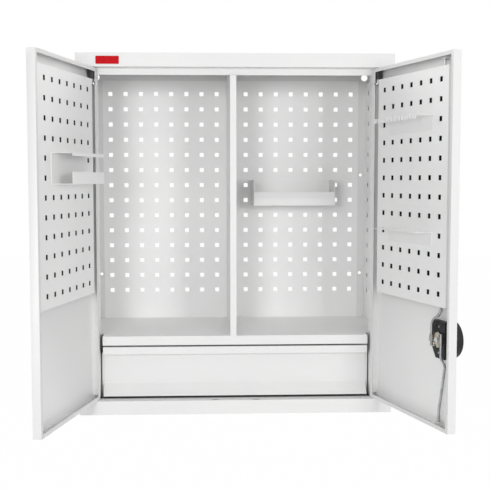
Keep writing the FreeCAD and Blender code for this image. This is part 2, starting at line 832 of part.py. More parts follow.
def cradle_holder():
    """Holder on the left door with a plate above and a trough below, open at both ends."""
    row = s.door_grid_top - s.pitch * s.cradle_row
    top = row + s.cradle_above
    low = top - s.cradle_rise
    front = panel_face + s.cradle_reach
    path = [
        (front, top - s.cradle_top_lip),
        (front, top),
        (panel_face, top),
        (panel_face, low),
        (front, low),
        (front, low + s.cradle_low_lip),
    ]
    holder("cradle_holder", 1, path, -1, row)


def comb_holder():
    """Holder on the right door with a slotted plate and a lip cut into teeth."""
    row = s.door_grid_top - s.pitch * s.comb_row
    top = row + s.comb_above
    front = panel_face + s.comb_reach
    path = [(panel_face, top - s.comb_rise), (panel_face, top), (front, top), (front, top - s.comb_lip)]
    piece, middle = holder("comb_holder", -1, path, 1, row)
    first = -middle - s.comb_pitch * (s.comb_slots - 1) / 2
    slot = box_corners(first - s.comb_slot / 2, first + s.comb_slot / 2, front - s.comb_slot_length, front)
    feature = piece.cut("XY_Plane", [slot], top - s.comb_lip, top)
    piece.repeat(feature, s.comb_pitch, s.comb_slots)


def bored_holder():
    """Holder on the right door with a row of round holes along its plate."""
    row = s.door_grid_top - s.pitch * s.rack_row
    top = row + s.rack_above
    front = panel_face + s.rack_reach
    path = [(panel_face, top - s.rack_rise), (panel_face, top), (front, top)]
    piece, middle = holder("bored_holder", -1, path, 1, row)
    first = -middle - s.rack_pitch * (s.rack_bores - 1) / 2
    spot = (first, panel_face + s.rack_reach / 2, s.rack_bore / 2)
    feature = piece.cut("XY_Plane", [spot], top - s.sheet, top)
    piece.repeat(feature, s.rack_pitch, s.rack_bores)


def lock_case():
    """Moulded case inside the right door, with its lower hinge-side corner cut off, and its screws."""
    piece = Piece("lock_case")
    near, far = s.lock_along - s.case_to_hinge, s.lock_along + s.case_to_edge
    low, high = s.lock_height - s.case_rise / 2, s.lock_height + s.case_rise / 2
    outline = [
        (near + s.case_chamfer, low),
        (far, low),
        (far, high),
        (near, high),
        (near, low + s.case_chamfer_rise),
    ]
    piece.add("XZ_Plane", [mirrored(-1, outline)], -case_face, -door_inside)
    bore = (-s.lock_along, s.lock_height, s.spindle / 2 + s.pin_clearance)
    piece.cut("XZ_Plane", [bore], -case_face, -door_inside)
    spots = [s.lock_height + s.case_screw_spread / 2 * way for way in (-1, 1)]
    holes = [(-s.lock_along, height, s.case_screw / 2) for height in spots]
    piece.cut("XZ_Plane", holes, -case_face, -door_inside)
    on_door(piece.body, -1)
    group = doc.addObject("Part::Compound", "lock_case_screws")
    group.Label = "lock_case_screws"
    screws = []
    for height in spots:
        screw = doc.addObject("Part::Cylinder", "case_screw")
        screw.Placement.Rotation = FreeCAD.Rotation(FreeCAD.Vector(1, 0, 0), 90)
        bind(screw, "Radius", s.case_screw / 2)
        bind(screw, "Height", s.case_depth)
        for axis, size in zip("xyz", (-s.lock_along, case_face, height)):
            bind(screw, f"Placement.Base.{axis}", size)
        screws.append(screw)
    group.Links = screws
    on_door(group, -1)
    pieces.append(group)


def turn_knob():
    """Domed knob outside the right door, with two finger recesses and a socket for spindle and barrel."""
    piece = Piece("turn_knob")
    drawing = piece.sketch("XY_Plane", s.lock_height, x=-s.lock_along)
    edge = s.knob / 2
    shoulder = knob_base + s.knob_edge
    crown = shoulder + s.knob_dome
    profile = [(0, -knob_base), (edge, -knob_base)]
    for share in (1, 0.75, 0.4, 0):
        profile.append((edge * share, -shoulder - s.knob_dome * (1 - share**2)))
    piece.draw(drawing, profile)
    turned = piece.body.newObject("PartDesign::Revolution", "Dome")
    turned.Profile = drawing
    turned.ReferenceAxis = (drawing, ["V_Axis"])
    turned.Angle = 360
    scoops = []
    for way in (-1, 1):
        near = s.grip / 2 * way - s.lock_along
        far = (s.grip / 2 + s.scoop) * way - s.lock_along
        reach = s.scoop_rise / 2
        scoops.append(box_corners(near, far, s.lock_height - reach, s.lock_height + reach))
    piece.cut("XZ_Plane", scoops, crown - s.scoop_depth, crown)
    socket = (-s.lock_along, s.lock_height, s.spindle / 2)
    piece.cut("XZ_Plane", [socket], knob_base, knob_base + s.socket)
    bore = (-s.lock_along, s.lock_height, s.barrel / 2 + s.pin_clearance)
    piece.cut("XZ_Plane", [bore], knob_base + s.socket, crown)
    on_door(piece.body, -1)
    barrel = Piece("lock_barrel")
    inner = knob_base + s.socket + s.knob_gap
    barrel.add("XZ_Plane", [(-s.lock_along, s.lock_height, s.barrel / 2)], inner, crown)
    reach = s.key_way / 2
    slot = box_corners(
        -s.lock_along - reach,
        reach - s.lock_along,
        s.lock_height - s.key_way_rise / 2,
        s.lock_height + s.key_way_rise / 2,
    )
    barrel.cut("XZ_Plane", [slot], crown - s.key_way_depth, crown)
    on_door(barrel.body, -1)


def spindle_and_cam():
    """Spindle through the door, the cam with its tongue and two rod pins, and the nut that holds it."""
    x, z = -s.lock_along, s.lock_height
    spindle = Piece("lock_spindle")
    spindle.add("XZ_Plane", [(x, z, s.spindle / 2)], -cam_rear, knob_base + s.socket)
    spindle.add("XZ_Plane", [(x, z, s.stud / 2)], -cam_face - s.nut_rise, -cam_rear)
    on_door(spindle.body, -1)
    cam = Piece("lock_cam")
    cam.add("XZ_Plane", [polygon(x, z, s.cam / 2, 8)], -cam_face, -cam_rear)
    reach = s.tongue_width / 2
    tongue = box_corners(x, x + s.tongue_reach, z - reach, z + reach)
    cam.add("XZ_Plane", [tongue], -cam_face, -cam_rear)
    pins = [(x + arm, z - arm, s.cam_pin / 2), (x - arm, z + arm, s.cam_pin / 2)]
    cam.add("XZ_Plane", pins, -cam_face - s.cam_pin_rise, -cam_face)
    cam.cut("XZ_Plane", [(x, z, s.stud / 2)], -cam_face, -cam_rear)
    on_door(cam.body, -1)
    nut = Piece("cam_nut")
    nut.add("XZ_Plane", [polygon(x, z, s.nut / 2, 6)], -cam_face - s.nut_rise, -cam_face)
    nut.cut("XZ_Plane", [(x, z, s.stud / 2)], -cam_face - s.nut_rise, -cam_face)
    on_door(nut.body, -1)


def lock_rod(name, way, stops):
    """Bent rod along its stops, from the fork that holds a cam pin to a rail."""
    legs = []
    for (x0, y0, z0), (x1, y1, z1) in zip(stops, stops[1:]):
        leg = doc.addObject("Part::Line", "leg")
        for path, size in zip(("X1", "Y1", "Z1", "X2", "Y2", "Z2"), (x0, y0, z0, x1, y1, z1)):
            bind(leg, path, size)
        legs.append(leg)
    route = doc.addObject("Part::Compound", "route")
    route.Links = legs
    section = doc.addObject("Part::Circle", "section")
    bind(section, "Radius", s.rod / 2)
    for axis, size in zip("xyz", stops[0]):
        bind(section, f"Placement.Base.{axis}", size)
    wire = doc.addObject("Part::Sweep", "wire")
    wire.Sections = [section]
    wire.Spine = (route, [f"Edge{number + 1}" for number in range(len(legs))])
    wire.Solid = True
    wire.Transition = "Right corner"
    eye = Piece(f"{name}_rod_fork")
    pieces.remove(eye.body)
    height = s.lock_height - arm * way
    outer = -s.lock_along + s.rod_aside * way
    inner = -s.lock_along + (s.nut / 2 + s.eye_room) * way
    plate = box_corners(inner, outer, height - eye_edge, height + eye_edge)
    eye.add("XZ_Plane", [plate], -rod_rear - s.eye_sheet, -rod_rear)
    closed_end = -s.lock_along + (s.cam_arm + eye_slot) * way
    slot = box_corners(-s.lock_along, closed_end, height - eye_slot, height + eye_slot)
    eye.cut("XZ_Plane", [slot], -rod_rear - s.eye_sheet, -rod_rear)
    rod = doc.addObject("Part::Fuse", f"{name}_lock_rod")
    rod.Label = f"{name}_lock_rod"
    rod.Base = wire
    rod.Tool = eye.body
    on_door(rod, -1)
    pieces.append(rod)


def lock_rods():
    """The two rods that the cam pushes into the rails, and the guides at the ends of the door."""
    aside = s.rod_aside
    case_high, case_low = s.lock_height + s.case_rise / 2, s.lock_height - s.case_rise / 2
    upper_x = -s.lock_along + aside
    upper = [
        (upper_x, rod_layer, s.lock_height - arm - eye_edge),
        (upper_x, rod_layer, case_high),
        (-s.lock_along, rod_inward, case_high + s.rod_jog),
        (-s.lock_along, rod_inward, door_high - s.rod_stop),
    ]
    lock_rod("upper", 1, upper)
    lower_x = -s.lock_along - aside
    lower = [
        (lower_x, rod_layer, s.lock_height + arm + eye_edge),
        (lower_x, rod_layer, case_low + s.rod / 2),
        (lower_x, rod_inward, case_low + s.rod / 2 - s.rod_jog),
        (-s.low_rod_along, rod_inward, door_low + s.low_rod_straight),
        (-s.low_rod_along, rod_inward, door_low + s.rod_stop),
    ]
    lock_rod("lower", -1, lower)
    places = {
        "upper_rod_guide": (s.lock_along, door_high - s.sheet - s.guide_rise),
        "lower_rod_guide": (s.low_rod_along, door_low + s.sheet),
    }
    for label, (along, low) in places.items():
        guide = Piece(label)
        reach = s.guide_length / 2
        outline = box_corners(-along - reach, reach - along, door_inside, door_inside + s.guide_depth)
        guide.add("XY_Plane", [outline], low, low + s.guide_rise)
        guide.cut("XY_Plane", [(-along, rod_inward, s.rod / 2 + s.pin_clearance)], low, low + s.guide_rise)
        on_door(guide.body, -1)


for name, side in (("left", -1), ("right", 1)):
    side_panel(name, side)
    side_liner(name, side)
    jamb(name, side)
    drawer_wall(name, side)
    drawer_slide(name, side)
top_panel()
bottom_panel()
back_panel()
shelf()
centre_divider()
tool_tray()
drawer()
hinge_pins()
for name, hand, margin in (("left", 1, s.left_free_margin), ("right", -1, s.panel_margin)):
    door_skin(name, hand)
    door_panel(name, hand, margin)
    hinge_block(name, hand)
    lower_bush(name, hand)
cradle_holder()
comb_holder()
bored_holder()
lock_case()
turn_knob()
spindle_and_cam()
lock_rods()
doc.recompute()

for thing in doc.Objects:
    if "Invalid" in thing.State or "Error" in thing.State:
        raise RuntimeError(f"{thing.Name} failed: {thing.State}")
    if thing.isDerivedFrom("PartDesign::Pocket") and thing.Shape.Volume >= thing.BaseFeature.Shape.Volume:
        raise RuntimeError(f"{thing.Name} cuts nothing")
for piece in pieces:
    if piece.Shape.isNull() or not piece.Shape.isValid() or not piece.Shape.Solids:
        raise RuntimeError(f"{piece.Label} has no valid solid")
os.makedirs("parts", exist_ok=True)
for piece in pieces:
    piece.Shape.exportStep(f"parts/{piece.Label}.step")
    print(piece.Label, len(piece.Shape.Solids), round(piece.Shape.Volume, 1))
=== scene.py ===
"""Looks of the wall cabinet: eased powder-coated sheets, zinc and moulded fittings, lock and studio.

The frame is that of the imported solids, in metres: X to the right, Y into the wall, Z up, with the
origin in the middle of the wall fixings. The sizes and places that the classes hold are in
millimetres, apart from the studio's, and angles are in degrees. Heights are counted from the cabinet's
underside, and places on a door are counted along it from its hinge axis, inward from that axis, and up.
Points that are handed to an operator are in metres.
"""
from __future__ import annotations

import json
import logging
import math
from dataclasses import dataclass
from enum import Enum
from typing import Callable, Sequence

import bpy
from mathutils import Matrix, Vector

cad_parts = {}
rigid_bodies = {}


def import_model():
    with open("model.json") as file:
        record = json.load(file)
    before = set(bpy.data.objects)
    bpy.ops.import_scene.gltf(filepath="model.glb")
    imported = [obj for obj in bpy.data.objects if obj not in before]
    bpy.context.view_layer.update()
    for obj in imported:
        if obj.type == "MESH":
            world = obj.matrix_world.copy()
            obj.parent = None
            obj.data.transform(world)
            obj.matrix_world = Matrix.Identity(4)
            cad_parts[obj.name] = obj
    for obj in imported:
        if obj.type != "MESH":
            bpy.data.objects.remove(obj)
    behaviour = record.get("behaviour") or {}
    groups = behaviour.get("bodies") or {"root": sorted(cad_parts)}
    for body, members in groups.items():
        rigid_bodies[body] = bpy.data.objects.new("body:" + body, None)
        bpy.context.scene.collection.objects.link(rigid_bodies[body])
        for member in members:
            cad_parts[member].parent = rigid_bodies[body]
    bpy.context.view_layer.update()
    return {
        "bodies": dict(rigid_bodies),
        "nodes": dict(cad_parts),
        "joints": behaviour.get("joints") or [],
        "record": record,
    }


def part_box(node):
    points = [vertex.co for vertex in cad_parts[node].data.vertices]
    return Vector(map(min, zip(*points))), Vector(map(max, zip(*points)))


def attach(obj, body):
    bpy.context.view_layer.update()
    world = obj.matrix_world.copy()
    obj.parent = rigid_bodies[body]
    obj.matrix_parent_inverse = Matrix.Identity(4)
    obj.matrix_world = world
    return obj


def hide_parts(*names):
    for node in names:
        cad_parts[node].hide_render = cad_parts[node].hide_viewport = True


LOG = logging.getLogger("cabinet")
MM = 0.001
# Height of the cabinet's underside in the frame, in metres.
UNDERSIDE = -0.4106
# Cosine over which a face counts as facing a direction.
FACING = 0.9

Place = tuple[float, float, float]
Colour = tuple[float, float, float, float]

WHITE: Colour = (1.0, 1.0, 1.0, 1.0)
# Directions of the frame, and of a door's own frame, where the door is closed.
ACROSS = Vector((1.0, 0.0, 0.0))
INWARD = Vector((0.0, 1.0, 0.0))
UP = Vector((0.0, 0.0, 1.0))


class Slot(Enum):
    """Material slots of the record."""

    PAINT = "grey_paint"
    BRIGHT = "bright_steel"
    YELLOW = "yellow_zinc"
    BLACK = "black_plastic"
    PALE = "pale_plastic"


class Element(Enum):
    """Kinds of mesh element, by the name of their selection mode."""

    POINT = "VERT"
    EDGE = "EDGE"
    FACE = "FACE"


class Side(Enum):
    """Sides of the cabinet, by the first word of their nodes' names."""

    LEFT = "left"
    RIGHT = "right"

    @property
    def hand(self) -> int:
        """Sign of the way along X from this side to the cabinet's middle."""
        return 1 if self is Side.LEFT else -1


class Wire:
    """A number on a shader socket; arithmetic on wires adds Math nodes."""

    def __init__(self, graph: Graph, socket: bpy.types.NodeSocket) -> None:
        """Keeps the socket and the graph that it belongs to."""
        self.graph = graph
        self.socket = socket

    def _math(self, operation: str, first: Wire | float, second: Wire | float) -> Wire:
        """Adds one Math node.

        Args:
            operation: the node's operation.
            first: its first input.
            second: its second input.

        Returns:
            The node's result.
        """
        return self.graph.node("ShaderNodeMath", {"operation": operation}, {0: first, 1: second})

    def __add__(self, other: Wire | float) -> Wire:
        """Sum."""
        return self._math("ADD", self, other)

    def __radd__(self, other: float) -> Wire:
        """Sum, number first."""
        return self._math("ADD", other, self)

    def __sub__(self, other: Wire | float) -> Wire:
        """Difference."""
        return self._math("SUBTRACT", self, other)

    def __rsub__(self, other: float) -> Wire:
        """Difference, number first."""
        return self._math("SUBTRACT", other, self)

    def __mul__(self, other: Wire | float) -> Wire:
        """Product."""
        return self._math("MULTIPLY", self, other)

    def __rmul__(self, other: float) -> Wire:
        """Product, number first."""
        return self._math("MULTIPLY", other, self)

    def ramp(self, low: float, high: float, start: float = 0.0, end: float = 1.0) -> Wire:
        """Maps a stretch smoothly onto another.

        Args:
            low: value that gives start.
            high: value that gives end.
            start: result at and below low.
            end: result at and above high.

        Returns:
            The mapped value.
        """
        sockets = {"Value": self, "From Min": low, "From Max": high, "To Min": start, "To Max": end}
        return self.graph.node("ShaderNodeMapRange", {"interpolation_type": "SMOOTHSTEP"}, sockets)


class Graph:
    """The node tree of one material, world or floor."""

    def __init__(self, owner: bpy.types.Material | bpy.types.World) -> None:
        """Starts an empty tree.

        Args:
            owner: the material or world whose tree is written.
        """
        owner.use_nodes = True
        self.tree = owner.node_tree
        self.tree.nodes.clear()

    def raw(self, kind: str, settings: dict, sockets: dict) -> bpy.types.Node:
        """Adds any node.

        Args:
            kind: the node's type name.
            settings: properties, set before the sockets.
            sockets: input name or number to a wire, a socket, or a constant.

        Returns:
            The node.
        """
        made = self.tree.nodes.new(kind)
        for key, value in settings.items():
            setattr(made, key, value)
        for key, value in sockets.items():
            if isinstance(value, Wire):
                value = value.socket
            if isinstance(value, bpy.types.NodeSocket):
                self.tree.links.new(value, made.inputs[key])
            else:
                made.inputs[key].default_value = value
        return made

    def node(self, kind: str, settings: dict, sockets: dict, output: str | int = 0) -> Wire:
        """Adds any node and gives one of its outputs.

        Args:
            kind: the node's type name.
            settings: properties, set before the sockets.
            sockets: input name or number to a wire, a socket, or a constant.
            output: name or number of the wanted output.

        Returns:
            The output as a wire.
        """
        return Wire(self, self.raw(kind, settings, sockets).outputs[output])

    def place(self) -> Wire:
        """Object coordinates of the shaded point."""
        return self.node("ShaderNodeTexCoord", {}, {}, "Object")

    def noise(self, place: Wire, scale: float, detail: float = 2.0, roughness: float = 0.5) -> Wire:
        """Noise between about 0 and 1.

        Args:
            place: coordinates.
            scale: features per metre.
            detail: octaves.
            roughness: weight of the finer octaves.

        Returns:
            The noise value.
        """
        sockets = {"Vector": place, "Scale": scale, "Detail": detail, "Roughness": roughness}
        return self.node("ShaderNodeTexNoise", {}, sockets, "Fac")

    def stretched(self, place: Wire, scale: Place) -> Wire:
        """Coordinates scaled by a different factor each way."""
        return self.node("ShaderNodeMapping", {"vector_type": "POINT"}, {"Vector": place, "Scale": scale})

    def blend(self, share: Wire, first: Wire | Colour, second: Wire | Colour) -> Wire:
        """Mixes two colours.

        Args:
            share: 0 for the first, 1 for the second.
            first: colour or wire.
            second: colour or wire.

        Returns:
            The mixed colour.
        """
        return self.node("ShaderNodeMix", {"data_type": "RGBA"}, {0: share, 6: first, 7: second}, 2)

    def bump(self, height: Wire, strength: float, depth: float) -> Wire:
        """Normals disturbed by a height.

        Args:
            height: the height, about 0 to 1.
            strength: share of the effect.
            depth: depth in millimetres.

        Returns:
            The normal.
        """
        sockets = {"Height": height, "Strength": strength, "Distance": depth * MM}
        return self.node("ShaderNodeBump", {}, sockets)

    def surface(self, sockets: dict) -> None:
        """Ends a material in one principled shader.

        Args:
            sockets: the shader's inputs.
        """
        shader = self.node("ShaderNodeBsdfPrincipled", {}, sockets, "BSDF")
        self.raw("ShaderNodeOutputMaterial", {}, {"Surface": shader})


@dataclass(frozen=True)
class Finish:
    """A finish: its name, its slot in the record, its two colours and its least roughness.

    Scales of grains and clouds are in features per metre, and depths of bumps in millimetres.
    """

    name: str
    slot: Slot
    light: Colour
    dark: Colour
    roughness: float

    def sockets(self, graph: Graph) -> dict:
        """Inputs of the principled shader.

        Args:
            graph: tree that the nodes go into.

        Returns:
            Input name to wire or constant.
        """
        raise NotImplementedError

    def material(self) -> bpy.types.Material:
        """The finish as a material, made once."""
        found = bpy.data.materials.get(self.name)
        if found:
            return found
        made = bpy.data.materials.new(self.name)
        graph = Graph(made)
        graph.surface(self.sockets(graph))
        return made


@dataclass(frozen=True)
class PowderCoat(Finish):
    """Satin powder coat: an orange-peel skin with faint clouds and a fine grain."""

    clouds: float = 5.0
    clouds_dull: float = 0.05
    peel: float = 620.0
    peel_share: float = 0.8
    grain: float = 2600.0
    grain_dulls: float = 0.06
    strength: float = 0.22
    depth: float = 0.12
    specular: float = 0.42

    def sockets(self, graph: Graph) -> dict:
        """Clouded colour, slightly uneven gloss and the orange peel as bump."""
        place = graph.place()
        clouds = graph.noise(place, self.clouds, detail=3.0).ramp(low=0.3, high=0.7)
        peel = graph.noise(place, self.peel, detail=1.0)
        grain = graph.noise(place, self.grain)
        skin = peel * self.peel_share + grain * (1.0 - self.peel_share)
        return {
            "Base Color": graph.blend(clouds, self.light, self.dark),
            "Roughness": clouds * self.clouds_dull + grain * self.grain_dulls + self.roughness,
            "Normal": graph.bump(skin, self.strength, self.depth),
            "Specular IOR Level": self.specular,
        }


@dataclass(frozen=True)
class ZincPlate(Finish):
    """Zinc plating: a drawn grain along the piece with small clouds of tarnish."""

    grain: Place = (2400.0, 2400.0, 130.0)
    grain_dulls: float = 0.14
    tarnish: float = 90.0
    tarnish_dulls: float = 0.12
    strength: float = 0.18
    depth: float = 0.06

    def sockets(self, graph: Graph) -> dict:
        """Metal whose colour and gloss follow the tarnish and the drawn grain."""
        place = graph.place()
        tarnish = graph.noise(place, self.tarnish, detail=4.0).ramp(low=0.35, high=0.7)
        drawn = graph.noise(graph.stretched(place, self.grain), scale=1.0)
        return {
            "Base Color": graph.blend(tarnish, self.light, self.dark),
            "Metallic": 1.0,
            "Roughness": tarnish * self.tarnish_dulls + drawn * self.grain_dulls + self.roughness,
            "Normal": graph.bump(drawn, self.strength, self.depth),
        }


@dataclass(frozen=True)
class Passivate(Finish):
    """Yellow chromate over zinc, drifting from straw to brown with a flush of rose."""

    drift: float = 60.0
    drift_dulls: float = 0.15
    rose: Colour = (0.72, 0.46, 0.38, 1.0)
    flush: float = 140.0
    most_flush: float = 0.7
    grain: float = 1500.0
    strength: float = 0.12
    depth: float = 0.06

    def sockets(self, graph: Graph) -> dict:
        """Metal with drifting tints."""
        place = graph.place()
        drift = graph.noise(place, self.drift).ramp(low=0.35, high=0.65)
        flush = graph.noise(place, self.flush).ramp(low=0.5, high=0.75, end=self.most_flush)
        tint = graph.blend(drift, self.light, self.dark)
        return {
            "Base Color": graph.blend(flush, tint, self.rose),
            "Metallic": 1.0,
            "Roughness": drift * self.drift_dulls + self.roughness,
            "Normal": graph.bump(graph.noise(place, self.grain), self.strength, self.depth),
        }


@dataclass(frozen=True)
class Moulding(Finish):
    """Moulded plastic with an eroded grain."""

    grain: float = 1500.0
    grain_dulls: float = 0.12
    patches: float = 45.0
    patches_dull: float = 0.08
    strength: float = 0.3
    depth: float = 0.12
    specular: float = 0.3

    def sockets(self, graph: Graph) -> dict:
        """Plastic dulled in patches, with the mould's grain as bump."""
        place = graph.place()
        grain = graph.noise(place, self.grain, detail=3.0, roughness=0.6)
        patches = graph.noise(place, self.patches).ramp(low=0.35, high=0.7)
        return {
            "Base Color": graph.blend(patches, self.dark, self.light),
            "Roughness": grain * self.grain_dulls + patches * self.patches_dull + self.roughness,
            "Specular IOR Level": self.specular,
            "Normal": graph.bump(grain, self.strength, self.depth),
        }


@dataclass(frozen=True)
class Enamel(Finish):
    """Plain enamel on the blank plate."""

    flow: float = 120.0
    flow_dulls: float = 0.06
    ripple: float = 260.0
    strength: float = 0.05
    depth: float = 0.1
    specular: float = 0.1

    def sockets(self, graph: Graph) -> dict:
        """Even enamel with a faint flow in it."""
        place = graph.place()
        flow = graph.noise(place, self.flow).ramp(low=0.3, high=0.7)
        ripple = graph.noise(place, self.ripple, detail=1.0)
        return {
            "Base Color": graph.blend(flow, self.light, self.dark),
            "Roughness": flow * self.flow_dulls + self.roughness,
            "Specular IOR Level": self.specular,
            "Normal": graph.bump(ripple, self.strength, self.depth),
        }


PAINT = PowderCoat(
    "grey_powder_coat",
    Slot.PAINT,
    light=(0.81, 0.81, 0.805, 1.0),
    dark=(0.79, 0.792, 0.79, 1.0),
    roughness=0.37,
)
# Two paler shades of the same paint, which stand in for the light inside the cabinet.
LIT_INSIDE = PowderCoat(
    "grey_powder_coat_inside_painted_light",
    Slot.PAINT,
    light=(0.925, 0.925, 0.92, 1.0),
    dark=(0.905, 0.907, 0.905, 1.0),
    roughness=0.40,
)
# Painted shade: the holders' plates a little darker than the inside's painted light.
SHADED_HOLDER = PowderCoat(
    "grey_powder_coat_holder_painted_shade",
    Slot.PAINT,
    light=(0.88, 0.88, 0.875, 1.0),
    dark=(0.86, 0.862, 0.86, 1.0),
    roughness=0.40,
)
# Painted shade: stands in for the shade behind the perforated sheets and in the gap on each door panel's
# hinge side.
PAINTED_SHADE = Moulding(
    "painted_shade_near_black",
    Slot.PAINT,
    light=(0.012, 0.012, 0.013, 1.0),
    dark=(0.006, 0.006, 0.006, 1.0),
    roughness=0.62,
)
BRIGHT = ZincPlate(
    "bright_zinc",
    Slot.BRIGHT,
    light=(0.74, 0.75, 0.77, 1.0),
    dark=(0.50, 0.51, 0.53, 1.0),
    roughness=0.20,
)
CROSSWISE = ZincPlate(
    "bright_zinc_crosswise",
    Slot.BRIGHT,
    light=(0.74, 0.75, 0.77, 1.0),
    dark=(0.52, 0.53, 0.55, 1.0),
    roughness=0.22,
    grain=(2400.0, 130.0, 2400.0),
)
DRAWN = ZincPlate(
    "drawn_steel",
    Slot.BRIGHT,
    light=(0.46, 0.47, 0.48, 1.0),
    dark=(0.30, 0.31, 0.32, 1.0),
    roughness=0.20,
)
YELLOW = Passivate(
    "yellow_chromate",
    Slot.YELLOW,
    light=(0.74, 0.67, 0.54, 1.0),
    dark=(0.48, 0.44, 0.36, 1.0),
    roughness=0.20,
)
BLACK = Moulding(
    "black_moulding",
    Slot.BLACK,
    light=(0.018, 0.018, 0.019, 1.0),
    dark=(0.010, 0.010, 0.011, 1.0),
    roughness=0.34,
)
HINGE = Moulding(
    "dark_grey_moulding",
    Slot.BLACK,
    light=(0.065, 0.065, 0.066, 1.0),
    dark=(0.05, 0.05, 0.051, 1.0),
    roughness=0.34,
)
PALE = Moulding(
    "pale_moulding",
    Slot.PALE,
    light=(0.66, 0.66, 0.65, 1.0),
    dark=(0.56, 0.56, 0.55, 1.0),
    roughness=0.42,
)
PLATE = Enamel(
    "plate_enamel",
    Slot.PAINT,
    light=(0.58, 0.004, 0.009, 1.0),
    dark=(0.53, 0.003, 0.008, 1.0),
    roughness=0.5,
)


class Bench:
    """Operators on one piece at a time: selection, edit mode and modifiers."""

    same_place = 0.01
    smooth_angle = 50.0
    normal_weight = 100

    @staticmethod
    def clear() -> None:
        """Leaves edit mode and selects nothing."""
        if bpy.context.object and bpy.context.object.mode != "OBJECT":
            bpy.ops.object.mode_set(mode="OBJECT")
        bpy.ops.object.select_all(action="DESELECT")

    @classmethod
    def take(cls, piece: bpy.types.Object) -> None:
        """Selects one piece alone and makes it active."""
        cls.clear()
        piece.select_set(True)
        bpy.context.view_layer.objects.active = piece

    @classmethod
    def edit(cls, piece: bpy.types.Object, element: Element, selected: bool = True) -> None:
        """Opens a piece in edit mode, with all or none of its elements selected.

        Args:
            piece: the piece.
            element: kind of element that is selected.
            selected: whether all are selected.
        """
        cls.take(piece)
        bpy.ops.object.mode_set(mode="EDIT")
        bpy.ops.mesh.select_mode(type=element.value)
        bpy.ops.mesh.select_all(action="SELECT" if selected else "DESELECT")

    @classmethod
    def pick(cls, piece: bpy.types.Object, element: Element, test: Callable[..., bool]) -> None:
        """Selects some of a piece's elements, and opens the piece in edit mode.

        Args:
            piece: the piece.
            element: kind of element that is selected.
            test: takes an element, and says whether it is selected.
        """
        cls.edit(piece, element, selected=False)
        bpy.ops.object.mode_set(mode="OBJECT")
        mesh = piece.data
        elements = {Element.POINT: mesh.vertices, Element.EDGE: mesh.edges, Element.FACE: mesh.polygons}
        for one in elements[element]:
            one.select = test(one)
        bpy.ops.object.mode_set(mode="EDIT")

    @classmethod
    def pick_faces(cls, piece: bpy.types.Object, test: Callable[[Vector, Vector], bool]) -> None:
        """Selects faces by place and normal, and opens the piece in edit mode.

        Args:
            piece: the piece.
            test: takes a face's centre and normal.
        """
        cls.pick(piece, Element.FACE, lambda face: test(face.center, face.normal))

    @classmethod
    def pick_edges(cls, piece: bpy.types.Object, test: Callable[[Vector, Vector], bool]) -> None:
        """Selects edges by their two ends, and opens the piece in edit mode.

        Args:
            piece: the piece.
            test: takes the edge's two ends.
        """

        def ends(edge: bpy.types.MeshEdge) -> Sequence[Vector]:
            """Places of the edge's two ends."""
            return [piece.data.vertices[end].co for end in edge.vertices]

        cls.pick(piece, Element.EDGE, lambda edge: test(*ends(edge)))

    @classmethod
    def pick_point(cls, piece: bpy.types.Object, place: Vector) -> None:
        """Selects the points at one place, and opens the piece in edit mode.

        Args:
            piece: the piece.
            place: the place.
        """
        cls.pick(piece, Element.POINT, lambda point: (point.co - place).length < cls.same_place * MM)

    @classmethod
    def modify(cls, piece: bpy.types.Object, kind: str, **settings: object) -> None:
        """Adds a modifier and applies it.

        Args:
            piece: the piece.
            kind: the modifier's type.
            settings: the modifier's properties.
        """
        cls.take(piece)
        modifier = piece.modifiers.new(kind.lower(), kind)
        for key, value in settings.items():
            setattr(modifier, key, value)
        bpy.ops.object.modifier_apply(modifier=modifier.name)

    @classmethod
    def ease(cls, piece: bpy.types.Object, width: float, segments: int = 2, angle: float = 30.0) -> None:
        """Rounds a piece's sharp edges and shades it smooth between the rest.

        Args:
            piece: the piece.
            width: how far the rounding reaches, in millimetres.
            segments: steps of the rounding.
            angle: edges sharper than this, in degrees, are rounded.
        """
        cls.modify(
            piece,
            "BEVEL",
            width=width * MM,
            segments=segments,
            limit_method="ANGLE",
            angle_limit=math.radians(angle),
        )
        cls.smooth(piece)

    @classmethod
    def smooth(cls, piece: bpy.types.Object) -> None:
        """Shades a piece smooth over its rounded edges, with its flat faces kept flat."""
        cls.take(piece)
        bpy.ops.object.shade_smooth_by_angle(angle=math.radians(cls.smooth_angle))
        cls.modify(piece, "WEIGHTED_NORMAL", mode="FACE_AREA", weight=cls.normal_weight, keep_sharp=True)

    @classmethod
    def settle(cls, piece: bpy.types.Object, turn: Matrix | None = None) -> None:
        """Moves a piece's place into its mesh, so that its object sits at the origin.

        Args:
            piece: the piece.
            turn: a further transform from the piece's own frame to the row's frame.
        """
        if turn is not None:
            piece.matrix_world = turn @ piece.matrix_world
        cls.take(piece)
        bpy.ops.object.transform_apply(location=True, rotation=True, scale=True)

    @classmethod
    def block(cls, name: str, low: Place, high: Place) -> bpy.types.Object:
        """A box between two corners, to be shaped further.

        Args:
            name: the piece's name.
            low: lowest corner.
            high: highest corner.

        Returns:
            The piece, with its place in its mesh.
        """
        cls.clear()
        middle = [(a + b) / 2 for a, b in zip(low, high)]
        bpy.ops.mesh.primitive_cube_add(size=1.0, location=middle)
        piece = bpy.context.object
        piece.name = piece.data.name = name
        piece.scale = [b - a for a, b in zip(low, high)]
        cls.settle(piece)
        return piece

    @classmethod
    def slice(cls, piece: bpy.types.Object, place: Vector, normal: Vector) -> None:
        """Cuts a piece's faces along a plane and keeps both sides.

        Args:
            piece: the piece.
            place: a point of the plane.
            normal: the plane's normal.
        """
        cls.edit(piece, Element.FACE)
        bpy.ops.mesh.bisect(plane_co=place, plane_no=normal)
        cls.clear()

    @classmethod
    def join(cls, first: bpy.types.Object, *others: bpy.types.Object) -> bpy.types.Object:
        """Joins pieces into the first one."""
        cls.take(first)
        for piece in others:
            piece.select_set(True)
        bpy.ops.object.join()
        return first


